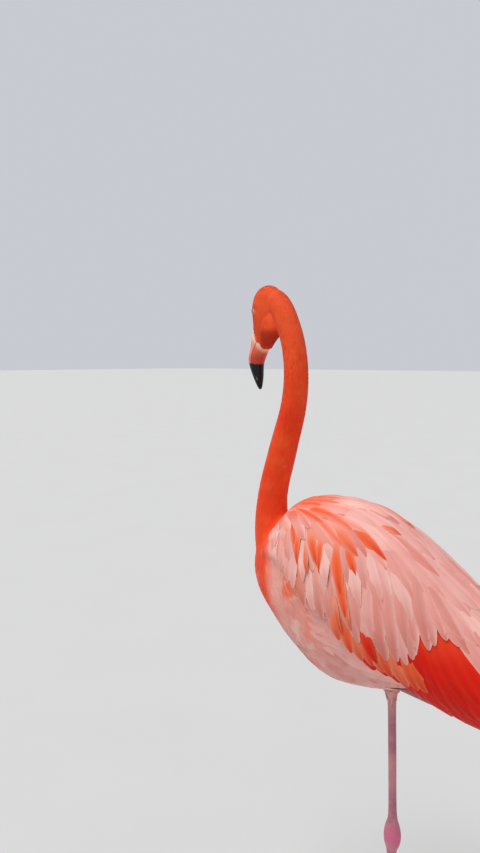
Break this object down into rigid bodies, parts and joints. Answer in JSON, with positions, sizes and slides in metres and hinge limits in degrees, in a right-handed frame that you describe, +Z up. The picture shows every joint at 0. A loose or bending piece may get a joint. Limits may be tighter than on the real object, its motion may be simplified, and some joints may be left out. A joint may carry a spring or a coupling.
{
  "type": "flamingo",
  "caption": "Life-size still flamingo standing on its left leg, the right leg folded under the belly, the neck raised and the bill hanging.",
  "frame": {"origin": "on the floor, on the flat underside of the standing foot's middle toe, below the belly", "axes": "+Z up, the bird faces -X, its left side is towards -Y"},
  "size_m": [0.6305, 0.187, 1.1274],
  "materials": {
    "feathers_red": "matte",
    "feathers_pink": "matte",
    "leg_skin": "satin",
    "bill_horn": "satin",
    "eye": "gloss"
  },
  "bodies": {
    "root": {"torso": "feathers_pink", "wing_left": "feathers_pink", "wing_right": "feathers_pink", "tail": "feathers_pink", "thigh_left": "feathers_pink", "thigh_right": "feathers_pink", "neck_lower": "feathers_red", "neck_middle": "feathers_red", "neck_upper": "feathers_red", "head": "feathers_red", "eye_left": "eye", "eye_right": "eye", "bill_upper": "bill_horn", "bill_lower": "bill_horn", "shank_left": "leg_skin", "ankle_left": "leg_skin", "tarsus_left": "leg_skin", "foot_left": "leg_skin", "shank_right": "leg_skin", "ankle_right": "leg_skin", "tarsus_right": "leg_skin", "foot_right": "leg_skin"}
  },
  "joints": []
}
